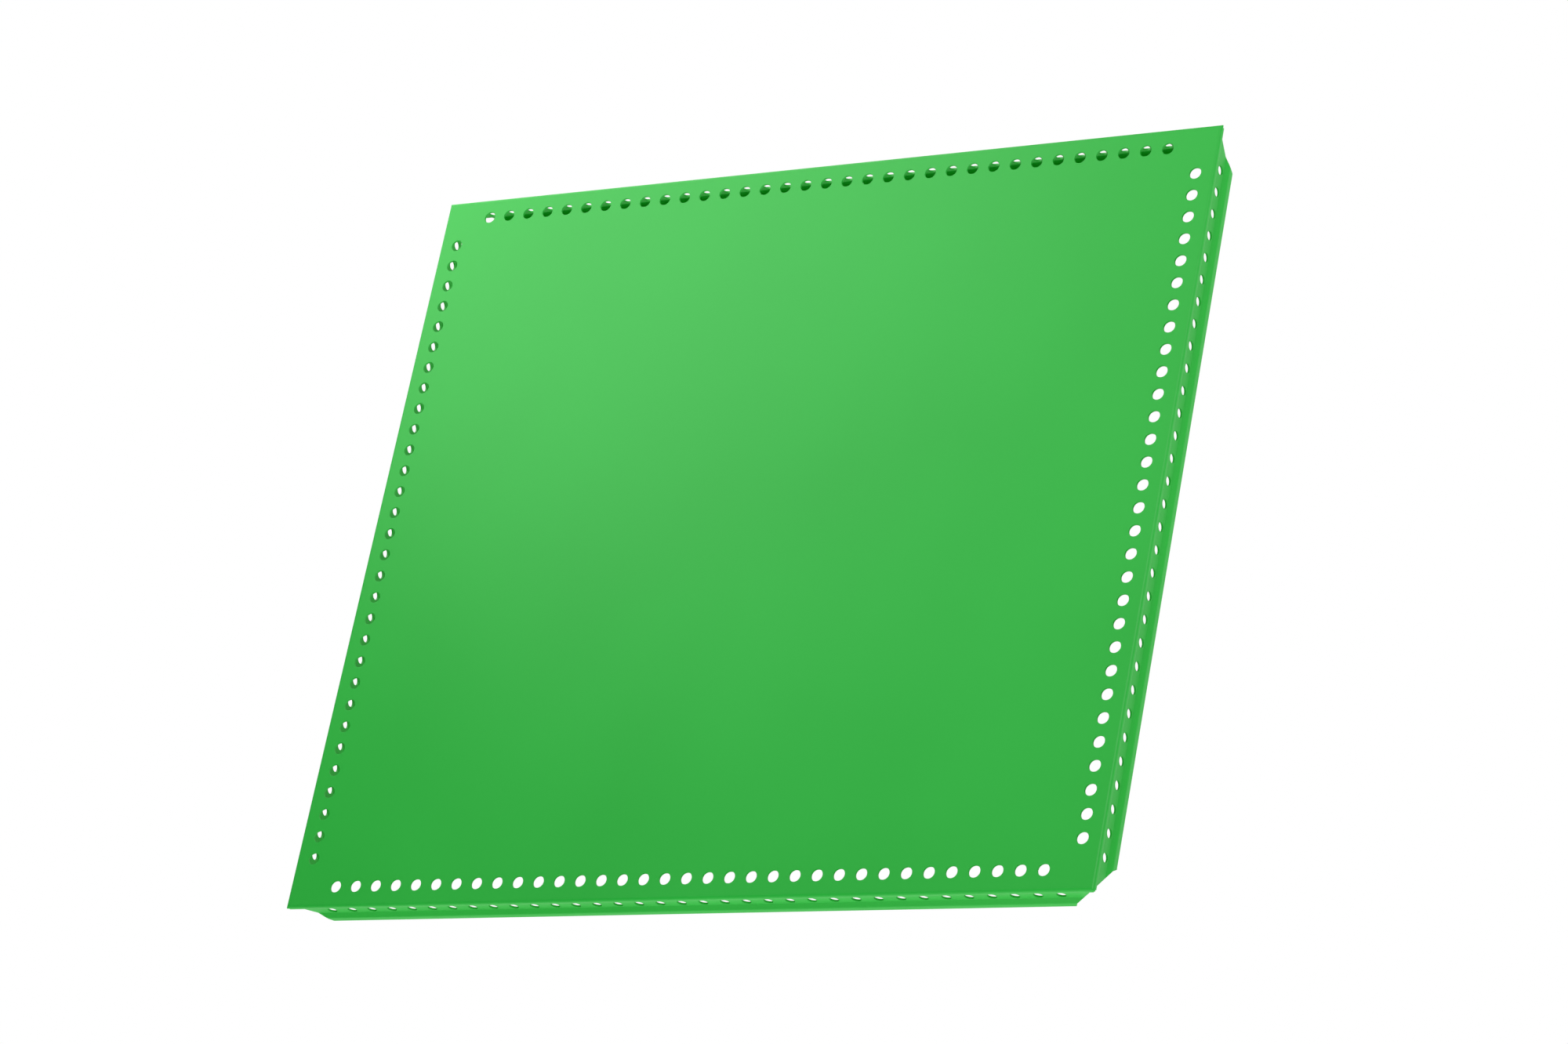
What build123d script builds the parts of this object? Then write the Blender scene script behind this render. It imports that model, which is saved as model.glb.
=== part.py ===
from build123d import *
import os
from math import sqrt

# Steel work-platform deck panel: a folded tray with perforated edges, stiffened from below.
#
# The tray is one sheet. Its deck is plain apart from a row of round holes along each edge.
# Each edge is folded down into a flange with a shallow groove along it, a row of smaller holes
# in the groove's floor and a lip turned inwards along its foot. The flange ends are mitred and
# the corners are open below the arris. Top-hat ribs run along the underside, short of the edge
# holes. Studs welded to the deck pass through the ribs' feet, and a flanged nut on each stud
# holds the rib up against the deck.
#
# The origin is at the middle of the plane that the lips stand on. X runs along the panel's
# longer side and Z points up, so the deck's top face is at z = flange_depth.

# ---- Tray, mm ----
deck_length = 940.0  # along X, over the flanges
deck_width = 834.0  # along Y, over the flanges
flange_depth = 40.0  # deck's top face to the lip's underside
sheet = 2.0  # thickness of the folded sheet
bend_inside = 1.0  # inside radius of every bend in the tray
lip_width = 12.0  # flange's outer face to the lip's free edge

# ---- Groove along each flange, mm ----
arris_strip = 5.5  # flush strip between the deck's top face and the groove
groove_inset = 4.5  # how far the groove's floor lies inside the flush strips
groove_slant = 4.5  # height of the slanted wall above the groove's floor
groove_slant_low = 5.0  # height of the slanted wall below the groove's floor
foot_strip = 9.0  # flush strip between the groove and the lip's underside

# ---- Mitred flange ends, mm ----
# Each value is the flange end's distance from the panel's corner, less its depth below the deck.
mitre_at_groove = -3.0
mitre_at_foot_strip = 1.5
mitre_at_foot = -2.0
corner_gap = 0.5  # between two neighbouring flanges' inner faces, just below the arris

# ---- Edge holes, mm ----
hole_pitch = 25.0
deck_hole = 13.0  # diameter
deck_hole_inset_x = 21.5  # outer face to hole centres along the two shorter edges
deck_hole_inset_y = 22.5  # outer face to hole centres along the two longer edges
hole_end_margin = 54.0  # least distance from a corner to the first deck hole of a row
flange_hole = 10.0  # diameter

# ---- Stiffening ribs, mm ----
rib_count = 5
rib_sheet = 1.5
rib_bend_inside = 1.5
rib_lift = 8.0  # crown's height above the plane that the lips stand on
rib_crown = 40.0  # width over the crown
rib_foot = 21.0  # width of each foot beyond the web
rib_end_gap = 60.0  # flange's outer face to the rib's end

# ---- Studs and nuts, mm ----
studs_per_foot = 5
stud_end_gap = 30.0  # rib's end to the first stud
stud_diameter = 6.0
stud_length = 12.0  # below the deck
stud_base = 1.0  # thickness of the stud's welded base
stud_base_step = 0.75  # how far the base stands out past the shank
stud_tip_chamfer = 0.8
stud_hole_clearance = 1.0  # on diameter, round the stud's base
thread_clearance = 0.1  # on diameter, between nut and stud
nut_height = 6.0
nut_across_flats = 10.0
nut_flange_diameter = 14.0
nut_flange = 1.6
nut_chamfer = 0.6

# ---- Worked out ----
deck_top = flange_depth
deck_under = deck_top - sheet
bend_outside = bend_inside + sheet
corner_relief = sheet + corner_gap  # corner to the flange's end, just below the arris
rim = lip_width + flange_depth  # width of the strip of deck that is made with each flange
rib_length = deck_length - 2 * rib_end_gap
rib_spacing = deck_width / (rib_count + 1)
stud_base_diameter = stud_diameter + 2 * stud_base_step
stud_line = rib_crown / 2 + rib_foot / 2  # from the rib's middle line
flange_hole_height = flange_depth / 2  # the flange holes lie on the flange's middle line


def row_count(edge_length):
    """Deck holes in the row along an edge of this length."""
    return int((edge_length - 2 * hole_end_margin) // hole_pitch) + 1


def row_places(count):
    """Places of a centred row of holes, from its middle."""
    return [(i - (count - 1) / 2) * hole_pitch for i in range(count)]


def folded_strip(points, thickness, bend):
    """Section of a folded sheet. One face runs through the points, the other lies to its right.

    Every fold has the same radius on its inner side, whichever way it turns.
    """
    line = [Vector(*point) for point in points]
    runs = [(end - start).normalized() for start, end in zip(line, line[1:])]
    rights = [Vector(run.Y, -run.X) for run in runs]
    beside = [line[0] + rights[0] * thickness]
    for corner, before, after in zip(line[1:-1], rights, rights[1:]):
        beside.append(corner + (before + after) * (thickness / (1 + before.dot(after))))
    beside.append(line[-1] + rights[-1] * thickness)
    left_turns = [before.cross(after).Z > 0 for before, after in zip(runs, runs[1:])]
    wide = bend + thickness
    faces = [
        FilletPolyline(*line, radius=[bend if left else wide for left in left_turns]),
        FilletPolyline(*beside, radius=[wide if left else bend for left in left_turns]),
    ]
    ends = [Line(line[0], beside[0]), Line(line[-1], beside[-1])]
    return make_face([edge for curve in faces + ends for edge in curve.edges()])


def flange_section(half_span):
    """Section through a flange in the XZ plane, its outer face at x = half_span."""
    inner = half_span - groove_inset
    groove_top = deck_top - arris_strip
    outer_face = [
        (half_span - rim, deck_top),
        (half_span, deck_top),
        (half_span, groove_top),
        (inner, groove_top - groove_slant),
        (inner, foot_strip + groove_slant_low),
        (half_span, foot_strip),
        (half_span, 0),
        (half_span - lip_width, 0),
    ]
    return Plane.XZ * folded_strip(outer_face, sheet, bend_inside)


def end_trim(half_length):
    """Face across a flange running along Y: its mitred ends and the reliefs at its corners."""
    groove_top = arris_strip + groove_slant
    foot_top = flange_depth - foot_strip
    floor_foot = foot_top - groove_slant_low
    line = [
        (0, 0),
        (0, bend_outside),
        (corner_relief, bend_outside),
        (corner_relief, arris_strip),
        (groove_top + mitre_at_groove, groove_top),
        (floor_foot + mitre_at_groove, floor_foot),
        (foot_top + mitre_at_foot_strip, foot_top),
        (flange_depth + mitre_at_foot, flange_depth),
    ]
    side = [(half_length - back, deck_top - depth) for back, depth in line]
    mirrored = [(-y, z) for y, z in reversed(side)]
    face = make_face(Polyline(*side, *mirrored, close=True))
    return Plane.YZ * face


def plan_trim(half_span, half_length):
    """Upright prism with 45 degree ends, so that neighbouring flanges meet on the diagonal."""
    inner = half_span - rim
    face = make_face(
        Polyline(
            (half_span, half_length),
            (half_span, -half_length),
            (inner, -half_length + rim),
            (inner, half_length - rim),
            close=True,
        )
    )
    return extrude(face, flange_depth)


def lip_trim(half_span, half_length):
    """The two blocks that are cut off the lip, so that its ends are mitred in plan."""
    outer = half_span - bend_outside
    inner = outer - lip_width
    cuts = []
    for side in (1, -1):
        end = side * (half_length - flange_depth - mitre_at_foot)
        corner = Polyline(
            (outer, end),
            (inner, end - side * lip_width),
            (inner, side * half_length),
            (outer, side * half_length),
            close=True,
        )
        cuts.append(extrude(make_face(corner), bend_outside))
    return cuts


def make_flange(half_span, half_length):
    """One flange with its strip of deck and its lip, facing +X."""
    section = flange_section(half_span)
    body = extrude(Pos(0, half_length, 0) * section, 2 * half_length, dir=(0, -1, 0))
    reach = Pos(half_span - rim, 0, 0) * end_trim(half_length)
    body &= extrude(reach, rim, dir=(1, 0, 0))
    body &= plan_trim(half_span, half_length)
    for cut in lip_trim(half_span, half_length):
        body -= cut
    return body


def drill(diameter, depth):
    """Upright cutter that reaches this far above and below its middle."""
    return Cylinder(diameter / 2, 2 * depth)


def make_flange_holes(half_span, edge_length):
    """Cutters for one flange's row of holes, facing +X, staggered with the deck's holes."""
    tool = Rot(0, 90, 0) * drill(flange_hole, lip_width)
    places = row_places(row_count(edge_length) + 1)
    return [Pos(half_span - groove_inset, y, flange_hole_height) * tool for y in places]


def make_deck_holes():
    """Cutters for the rows of holes along the deck's four edges."""
    tool = drill(deck_hole, 2 * sheet)
    column = deck_length / 2 - deck_hole_inset_x
    row = deck_width / 2 - deck_hole_inset_y
    places = [(x, side * row) for side in (1, -1) for x in row_places(row_count(deck_length))]
    places += [(side * column, y) for side in (1, -1) for y in row_places(row_count(deck_width))]
    return [Pos(x, y, deck_top) * tool for x, y in places]


def make_tray():
    """The folded sheet: the deck, its four flanges and every edge hole."""
    half_x, half_y = deck_length / 2, deck_width / 2
    tray = Pos(0, 0, deck_top - sheet / 2) * Box(deck_length - 2 * rim, deck_width - 2 * rim, sheet)
    holes = make_deck_holes()
    for turn, span, length in ((0, half_x, half_y), (90, half_y, half_x)):
        flange = make_flange(span, length)
        flange_holes = make_flange_holes(span, 2 * length)
        for flip in (0, 180):
            place = Rot(0, 0, turn + flip)
            tray += place * flange
            holes += [place * hole for hole in flange_holes]
    return tray - holes


def make_rib():
    """Top-hat rib along X at the middle of the deck, its feet against the deck's underside."""
    web = rib_crown / 2
    foot = web + rib_foot
    foot_face = deck_under - rib_sheet
    outer_face = [
        (foot, foot_face),
        (web, foot_face),
        (web, rib_lift),
        (-web, rib_lift),
        (-web, foot_face),
        (-foot, foot_face),
    ]
    section = Plane.YZ * folded_strip(outer_face, rib_sheet, rib_bend_inside)
    rib = extrude(Pos(-rib_length / 2, 0, 0) * section, rib_length, dir=(1, 0, 0))
    tool = drill(stud_base_diameter + stud_hole_clearance, 2 * rib_sheet)
    return rib - [Pos(x, y, deck_under) * tool for x, y in stud_places()]


def stud_places():
    """Studs of one rib, from the rib's middle."""
    step = (rib_length - 2 * stud_end_gap) / (studs_per_foot - 1)
    along = [(i - (studs_per_foot - 1) / 2) * step for i in range(studs_per_foot)]
    return [(x, side * stud_line) for x in along for side in (1, -1)]


def turned(*outline):
    """Solid of revolution about Z from an outline in (radius, height)."""
    return revolve(Plane.XZ * make_face(Polyline(*outline, close=True)), Axis.Z)


def make_stud():
    """Weld stud hanging from the deck's underside, at the origin's X and Y."""
    base = stud_base_diameter / 2
    shank = stud_diameter / 2
    tip = deck_under - stud_length
    return turned(
        (0, deck_under),
        (base, deck_under),
        (base, deck_under - stud_base),
        (shank, deck_under - stud_base),
        (shank, tip + stud_tip_chamfer),
        (shank - stud_tip_chamfer, tip),
        (0, tip),
    )


def make_nut():
    """Flanged hexagon nut against the rib's foot, at the origin's X and Y."""
    seat = deck_under - rib_sheet
    end = seat - nut_height
    corner = nut_across_flats / sqrt(3)
    rim_of_flange = nut_flange_diameter / 2
    hexagon = extrude(Pos(0, 0, end) * RegularPolygon(corner, 6), nut_height)
    chamfered = turned(
        (0, seat),
        (corner, seat),
        (corner, end + nut_chamfer),
        (corner - 2 * nut_chamfer, end),
        (0, end),
    )
    flange = turned(
        (0, seat),
        (rim_of_flange, seat),
        (rim_of_flange, seat - nut_flange / 2),
        (nut_across_flats / 2, seat - nut_flange),
        (0, seat - nut_flange),
    )
    thread = Pos(0, 0, seat) * drill(stud_diameter + thread_clearance, nut_height)
    return (hexagon & chamfered) + flange - thread


def rib_lines():
    """Y of each rib's middle line."""
    return [(i - (rib_count - 1) / 2) * rib_spacing for i in range(rib_count)]


def spread(piece):
    """Copies of a fixing, one at every stud."""
    return Compound([Pos(x, y + line, 0) * piece for line in rib_lines() for x, y in stud_places()])


os.makedirs("parts", exist_ok=True)
export_step(make_tray(), "parts/deck_tray.step")
rib_shape = make_rib()
for number, y_line in enumerate(rib_lines(), 1):
    export_step(Pos(0, y_line, 0) * rib_shape, f"parts/stiffener_rib_{number}.step")
export_step(spread(make_stud()), "parts/weld_studs.step")
export_step(spread(make_nut()), "parts/flange_nuts.step")
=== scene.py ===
from math import cos, hypot, pi, radians, sin

import bpy
from mathutils import Matrix, Vector


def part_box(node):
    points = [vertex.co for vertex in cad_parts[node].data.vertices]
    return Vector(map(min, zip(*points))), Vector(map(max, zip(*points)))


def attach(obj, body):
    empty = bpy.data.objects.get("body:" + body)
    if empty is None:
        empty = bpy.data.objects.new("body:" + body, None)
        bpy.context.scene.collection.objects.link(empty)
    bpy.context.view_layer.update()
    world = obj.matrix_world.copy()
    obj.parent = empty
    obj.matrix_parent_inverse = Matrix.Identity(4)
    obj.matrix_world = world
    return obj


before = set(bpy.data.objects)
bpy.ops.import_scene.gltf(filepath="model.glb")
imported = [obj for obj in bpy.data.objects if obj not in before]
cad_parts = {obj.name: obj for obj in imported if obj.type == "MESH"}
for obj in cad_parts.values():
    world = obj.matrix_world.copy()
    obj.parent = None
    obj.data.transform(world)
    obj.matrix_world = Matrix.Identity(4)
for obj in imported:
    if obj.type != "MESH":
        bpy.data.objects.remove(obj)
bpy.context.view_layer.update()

# ---------------------------------------------------------------------------------------------
# The deck tray: one steel sheet, pierced, grooved and folded, then powder coated in green.
# The coat flows over every edge as it melts, so the pierced rims and sheared ends look slightly
# rounded, and it cures with a faint orange peel that keeps the reflections soft.
# ---------------------------------------------------------------------------------------------
MM = 0.001

COAT_DEEP = "#29cd42"
COAT_EVEN = "#2dd346"
COAT_FLECK = "#31d64a"
COAT_CLOUD_SIZE = 260  # mm, as every pattern size below
COAT_PEEL_SIZE = 2.2
COAT_FLECK_SIZE = 0.7
COAT_PEEL_DEPTH = 0.05 * MM
COAT_EDGE_RADIUS = 0.4 * MM


def linear(hex_colour):
    """An sRGB hex value as a linear colour with alpha."""
    channels = [int(hex_colour[i:i + 2], 16) / 255 for i in (1, 3, 5)]
    return [c / 12.92 if c <= 0.04045 else ((c + 0.055) / 1.055) ** 2.4 for c in channels] + [1.0]


def add_node(tree, kind, values=None, links=None, **settings):
    """Adds a node with its own settings, the values on its sockets and the links into them."""
    node = tree.nodes.new(kind)
    for name, value in settings.items():
        setattr(node, name, value)
    for socket, value in (values or {}).items():
        node.inputs[socket].default_value = value
    for socket, source in (links or {}).items():
        tree.links.new(source, node.inputs[socket])
    return node


def new_material(name):
    """An empty node material with its output."""
    material = bpy.data.materials.new(name)
    material.use_nodes = True
    material.node_tree.nodes.clear()
    return material


def per_mm(size):
    """Texture scale for a pattern whose cells are this many millimetres across."""
    return 1 / (size * MM)


def powder_coat():
    """Polyester powder coat, sprayed dry and baked: even colour, soft gloss, fine orange peel."""
    material = new_material("powder_coat_green_on_steel")
    tree = material.node_tree
    place = add_node(tree, "ShaderNodeTexCoord").outputs["Object"]
    cloud = add_node(tree, "ShaderNodeTexNoise", {"Scale": per_mm(COAT_CLOUD_SIZE), "Detail": 2.0},
                     {"Vector": place})
    peel = add_node(tree, "ShaderNodeTexNoise", {"Scale": per_mm(COAT_PEEL_SIZE), "Detail": 1.0},
                    {"Vector": place})
    fleck = add_node(tree, "ShaderNodeTexNoise", {"Scale": per_mm(COAT_FLECK_SIZE), "Detail": 2.0},
                     {"Vector": place})
    colour = add_node(tree, "ShaderNodeValToRGB", links={"Fac": cloud.outputs["Fac"]})
    colour.color_ramp.elements[0].position = 0.3
    colour.color_ramp.elements[0].color = linear(COAT_DEEP)
    colour.color_ramp.elements[1].position = 0.7
    colour.color_ramp.elements[1].color = linear(COAT_EVEN)
    speckle = add_node(tree, "ShaderNodeMixRGB", {"Color2": linear(COAT_FLECK)},
                       {"Color1": colour.outputs["Color"]}, blend_type="MIX")
    amount = add_node(tree, "ShaderNodeMapRange", {"From Min": 0.5, "From Max": 0.8, "To Max": 0.5},
                      {"Value": fleck.outputs["Fac"]})
    tree.links.new(amount.outputs["Result"], speckle.inputs["Fac"])
    rough = add_node(tree, "ShaderNodeMapRange", {"To Min": 0.40, "To Max": 0.46},
                     {"Value": cloud.outputs["Fac"]})
    edge = add_node(tree, "ShaderNodeBevel", {"Radius": COAT_EDGE_RADIUS}, samples=6)
    bump = add_node(tree, "ShaderNodeBump", {"Strength": 0.35, "Distance": COAT_PEEL_DEPTH},
                    {"Height": peel.outputs["Fac"], "Normal": edge.outputs["Normal"]})
    shader = add_node(tree, "ShaderNodeBsdfPrincipled", {"IOR": 1.5, "Metallic": 0.0},
                      {"Base Color": speckle.outputs["Color"], "Roughness": rough.outputs["Result"],
                       "Normal": bump.outputs["Normal"]})
    add_node(tree, "ShaderNodeOutputMaterial", links={"Surface": shader.outputs["BSDF"]})
    return material


def dress(node, material):
    """Puts a material on a CAD node."""
    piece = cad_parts[node]
    piece.data.materials.clear()
    piece.data.materials.append(material)


dress("deck_tray", powder_coat())

# ---------------------------------------------------------------------------------------------
# The stiffening ribs: top-hat sections roll formed from hot-dip galvanised strip.
# The zinc froze on the strip as flat crystals, so neighbouring patches differ a little in
# brightness and in how sharply they reflect.
# ---------------------------------------------------------------------------------------------
ZINC_DARK = "#b1b4b6"
ZINC_LIGHT = "#c4c7c8"
SPANGLE_SIZE = 7
SPANGLE_WANDER_SIZE = 6
SPANGLE_WANDER = 0.0025


def galvanised():
    """Hot-dip galvanised strip: a spangle of zinc crystals, dulled by passivation."""
    material = new_material("hot_dip_galvanised_strip")
    tree = material.node_tree
    place = add_node(tree, "ShaderNodeTexCoord").outputs["Object"]
    wander = add_node(tree, "ShaderNodeTexNoise", {"Scale": per_mm(SPANGLE_WANDER_SIZE), "Detail": 3.0},
                      {"Vector": place})
    bent = add_node(tree, "ShaderNodeMixRGB", {"Fac": SPANGLE_WANDER},
                    {"Color1": place, "Color2": wander.outputs["Color"]}, blend_type="LINEAR_LIGHT")
    spangle = add_node(tree, "ShaderNodeTexVoronoi", {"Scale": per_mm(SPANGLE_SIZE)},
                       {"Vector": bent.outputs["Color"]})
    tone = add_node(tree, "ShaderNodeSeparateColor", links={"Color": spangle.outputs["Color"]})
    colour = add_node(tree, "ShaderNodeValToRGB", links={"Fac": tone.outputs["Red"]})
    colour.color_ramp.elements[0].color = linear(ZINC_DARK)
    colour.color_ramp.elements[1].color = linear(ZINC_LIGHT)
    rough = add_node(tree, "ShaderNodeMapRange", {"To Min": 0.34, "To Max": 0.52},
                     {"Value": tone.outputs["Green"]})
    shader = add_node(tree, "ShaderNodeBsdfPrincipled", {"Metallic": 1.0},
                      {"Base Color": colour.outputs["Color"], "Roughness": rough.outputs["Result"]})
    add_node(tree, "ShaderNodeOutputMaterial", links={"Surface": shader.outputs["BSDF"]})
    return material


rib_metal = galvanised()
for name in sorted(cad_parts):
    if name.startswith("stiffener_rib_"):
        dress(name, rib_metal)

# ---------------------------------------------------------------------------------------------
# The weld studs and their flanged nuts: cold-headed steel, bright zinc plated.
# The studs are welded to the deck's underside, and each nut holds a rib's foot up against it.
# ---------------------------------------------------------------------------------------------
PLATE_DULL = "#bdbcb4"
PLATE_BRIGHT = "#d6d6d0"
PLATE_CLOUD_SIZE = 3


def bright_zinc():
    """Electroplated zinc over cold-headed steel: bright, a little cloudy, faintly warm."""
    material = new_material("bright_zinc_plate")
    tree = material.node_tree
    place = add_node(tree, "ShaderNodeTexCoord").outputs["Object"]
    cloud = add_node(tree, "ShaderNodeTexNoise", {"Scale": per_mm(PLATE_CLOUD_SIZE), "Detail": 3.0},
                     {"Vector": place})
    colour = add_node(tree, "ShaderNodeValToRGB", links={"Fac": cloud.outputs["Fac"]})
    colour.color_ramp.elements[0].color = linear(PLATE_DULL)
    colour.color_ramp.elements[1].color = linear(PLATE_BRIGHT)
    rough = add_node(tree, "ShaderNodeMapRange", {"To Min": 0.22, "To Max": 0.38},
                     {"Value": cloud.outputs["Fac"]})
    shader = add_node(tree, "ShaderNodeBsdfPrincipled", {"Metallic": 1.0},
                      {"Base Color": colour.outputs["Color"], "Roughness": rough.outputs["Result"]})
    add_node(tree, "ShaderNodeOutputMaterial", links={"Surface": shader.outputs["BSDF"]})
    return material


fixing_metal = bright_zinc()
dress("weld_studs", fixing_metal)
dress("flange_nuts", fixing_metal)

# ---------------------------------------------------------------------------------------------
# The studs' threads: M6 coarse, rolled into the shank that stands out below each nut.
# Each one is a helical ridge wound round its stud from the nut's end face towards the tip.
# ---------------------------------------------------------------------------------------------
THREAD_PITCH = 1.0 * MM
THREAD_STEPS = 12  # places along each turn
THREAD_RUNOUT = 4  # steps over which the crest rises from the shank at each end
THREAD_FLANK = 0.36 * THREAD_PITCH  # half of the ridge's width at its root
THREAD_HEIGHT = 0.18 * MM  # crest above the shank
THREAD_SINK = 0.1 * MM  # root inside the shank
THREAD_START = 0.3 * MM  # below the nut's end face
THREAD_TIP = 1.0 * MM  # bare length at the stud's tip


def islands(piece):
    """Vertex places of each loose part of a mesh. Vertices at the same place belong together."""
    mesh = piece.data
    owner = list(range(len(mesh.vertices)))

    def root(index):
        """The vertex that stands for this vertex's loose part."""
        while owner[index] != index:
            owner[index] = owner[owner[index]]
            index = owner[index]
        return index

    first_at = {}
    for vertex in mesh.vertices:
        place = tuple(round(c, 7) for c in vertex.co)
        owner[root(vertex.index)] = root(first_at.setdefault(place, vertex.index))
    for edge in mesh.edges:
        owner[root(edge.vertices[0])] = root(edge.vertices[1])
    groups = {}
    for vertex in mesh.vertices:
        groups.setdefault(root(vertex.index), []).append(vertex.co)
    return list(groups.values())


def ridge(middle, radius, top, bottom):
    """Vertices and faces of one helical ridge of triangular section round a vertical axis."""
    count = int((top - bottom) / THREAD_PITCH * THREAD_STEPS)
    points, faces = [], []
    for step in range(count + 1):
        angle = 2 * pi * step / THREAD_STEPS
        crest = THREAD_HEIGHT * min(1, step / THREAD_RUNOUT, (count - step) / THREAD_RUNOUT)
        height = top - THREAD_PITCH * step / THREAD_STEPS
        for out, rise in ((-THREAD_SINK, -THREAD_FLANK), (crest, 0), (-THREAD_SINK, THREAD_FLANK)):
            reach = radius + out
            points.append((middle.x + reach * cos(angle), middle.y + reach * sin(angle), height + rise))
    for step in range(count):
        at = 3 * step
        for side in range(3):
            other = (side + 1) % 3
            faces.append((at + side, at + other, at + 3 + other, at + 3 + side))
    last = 3 * count
    faces.append((2, 1, 0))
    faces.append((last, last + 1, last + 2))
    return points, faces


nut_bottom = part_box("flange_nuts")[0][2]
thread_points, thread_faces = [], []
for stud in islands(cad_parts["weld_studs"]):
    middle = sum(stud, Vector()) / len(stud)
    tip = min(point.z for point in stud)
    shank = [point for point in stud if point.z < nut_bottom]
    radius = max(hypot(point.x - middle.x, point.y - middle.y) for point in shank)
    points, faces = ridge(middle, radius, nut_bottom - THREAD_START, tip + THREAD_TIP)
    start = len(thread_points)
    thread_points += points
    thread_faces += [[start + index for index in face] for face in faces]
mesh = bpy.data.meshes.new("stud_threads")
mesh.from_pydata(thread_points, [], thread_faces)
threads = bpy.data.objects.new("stud_threads", mesh)
bpy.context.scene.collection.objects.link(threads)
bpy.ops.object.select_all(action="DESELECT")
threads.select_set(True)
bpy.context.view_layer.objects.active = threads
bpy.ops.object.mode_set(mode="EDIT")
bpy.ops.mesh.select_all(action="SELECT")
bpy.ops.mesh.normals_make_consistent(inside=False)
bpy.ops.object.mode_set(mode="OBJECT")
threads.data.materials.append(fixing_metal)
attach(threads, "root")

# ---------------------------------------------------------------------------------------------
# The studio: the panel lies on a pale floor that glows softly, in a dim and even surround. One
# softbox stands low behind the far left corner, a small one lights the right arris, and two
# large ones fill in from overhead and from the front.
# ---------------------------------------------------------------------------------------------
FLOOR_SIDE = 24.0
FLOOR_HEIGHT = -0.2 * MM  # clear of the lips' undersides
FLOOR_COLOUR = "#d8d8d6"
FLOOR_GLOW = 0.45
SURROUND_GLOW = 0.16
WHITE = linear("#ffffff")
SOFTBOXES = (  # name, place, aim, side in metres, power in watts
    ("key_softbox", (-0.74, 0.94, 0.62), (0, 0, 0), 1.2, 9),
    ("rim_softbox", (1.55, 0.8, 1.05), (0.4, 0, 0), 0.5, 3),
    ("overhead_softbox", (1.1, 0.7, 2.6), (0, 0, 0), 1.6, 24),
    ("front_softbox", (0.6, -3.5, 1.2), (0, 0, 0), 2.0, 44),
)


def seen_white(tree, lit):
    """Pure white for the camera, and the lit shader for every other ray."""
    ray = add_node(tree, "ShaderNodeLightPath")
    kind = "ShaderNodeBackground" if lit.node.type == "BACKGROUND" else "ShaderNodeEmission"
    seen = add_node(tree, kind, {"Color": WHITE, "Strength": 1.0})
    return add_node(tree, "ShaderNodeMixShader",
                    links={"Fac": ray.outputs["Is Camera Ray"], 1: lit, 2: seen.outputs[0]})


def pale_floor():
    """Matt white paper lit from behind, exposed to plain white, and clear from below."""
    material = new_material("matt_white_paper")
    tree = material.node_tree
    paper = add_node(tree, "ShaderNodeBsdfPrincipled",
                     {"Base Color": linear(FLOOR_COLOUR), "Roughness": 0.9,
                      "Emission Color": WHITE, "Emission Strength": FLOOR_GLOW})
    shown = seen_white(tree, paper.outputs["BSDF"])
    clear = add_node(tree, "ShaderNodeBsdfTransparent")
    facing = add_node(tree, "ShaderNodeNewGeometry")
    one_sided = add_node(tree, "ShaderNodeMixShader",
                         links={"Fac": facing.outputs["Backfacing"],
                                1: shown.outputs["Shader"], 2: clear.outputs["BSDF"]})
    add_node(tree, "ShaderNodeOutputMaterial", links={"Surface": one_sided.outputs["Shader"]})
    return material


bpy.ops.object.select_all(action="DESELECT")
bpy.ops.mesh.primitive_plane_add(size=FLOOR_SIDE, location=(0, 0, FLOOR_HEIGHT))
floor = bpy.context.object
floor.name = "studio_floor"
floor.data.materials.append(pale_floor())


def softbox(name, place, aim, side, power):
    """A square softbox at a place, turned to its aim."""
    data = bpy.data.lights.new(name, "AREA")
    data.shape = "SQUARE"
    data.size = side
    data.energy = power
    light = bpy.data.objects.new(name, data)
    bpy.context.scene.collection.objects.link(light)
    light.location = place
    light.rotation_euler = (Vector(aim) - Vector(place)).to_track_quat("-Z", "Y").to_euler()


for name, place, aim, side, power in SOFTBOXES:
    softbox(name, place, aim, side, power)

world = bpy.data.worlds.new("studio_surround")
world.use_nodes = True
bpy.context.scene.world = world
surround = world.node_tree
surround.nodes.clear()
lit = add_node(surround, "ShaderNodeBackground", {"Color": WHITE, "Strength": SURROUND_GLOW})
shown = seen_white(surround, lit.outputs["Background"])
add_node(surround, "ShaderNodeOutputWorld", links={"Surface": shown.outputs["Shader"]})
bpy.context.scene.view_settings.view_transform = "Standard"

# ---------------------------------------------------------------------------------------------
# The camera: a long lens above one corner of the panel, rolled so that the panel's longer
# edges run down the picture to the right.
# ---------------------------------------------------------------------------------------------
AIM = Vector((0.0438, -0.0037, 0.040))
DISTANCE = 5.3138
AZIMUTH, ELEVATION, ROLL = -38.317, 49.701, -47.63  # degrees
SENSOR_WIDTH = 36  # mm, as the focal length
FOCAL_LENGTH = 119.94

lens = bpy.data.cameras.new("camera")
lens.sensor_width = SENSOR_WIDTH
lens.lens = FOCAL_LENGTH
camera = bpy.data.objects.new("camera", lens)
bpy.context.scene.collection.objects.link(camera)
turn = (
    Matrix.Rotation(radians(AZIMUTH + 90), 4, "Z")
    @ Matrix.Rotation(radians(90 - ELEVATION), 4, "X")
    @ Matrix.Rotation(radians(ROLL), 4, "Z")
)
camera.matrix_world = Matrix.Translation(AIM + turn.to_3x3() @ Vector((0, 0, DISTANCE))) @ turn
bpy.context.scene.camera = camera
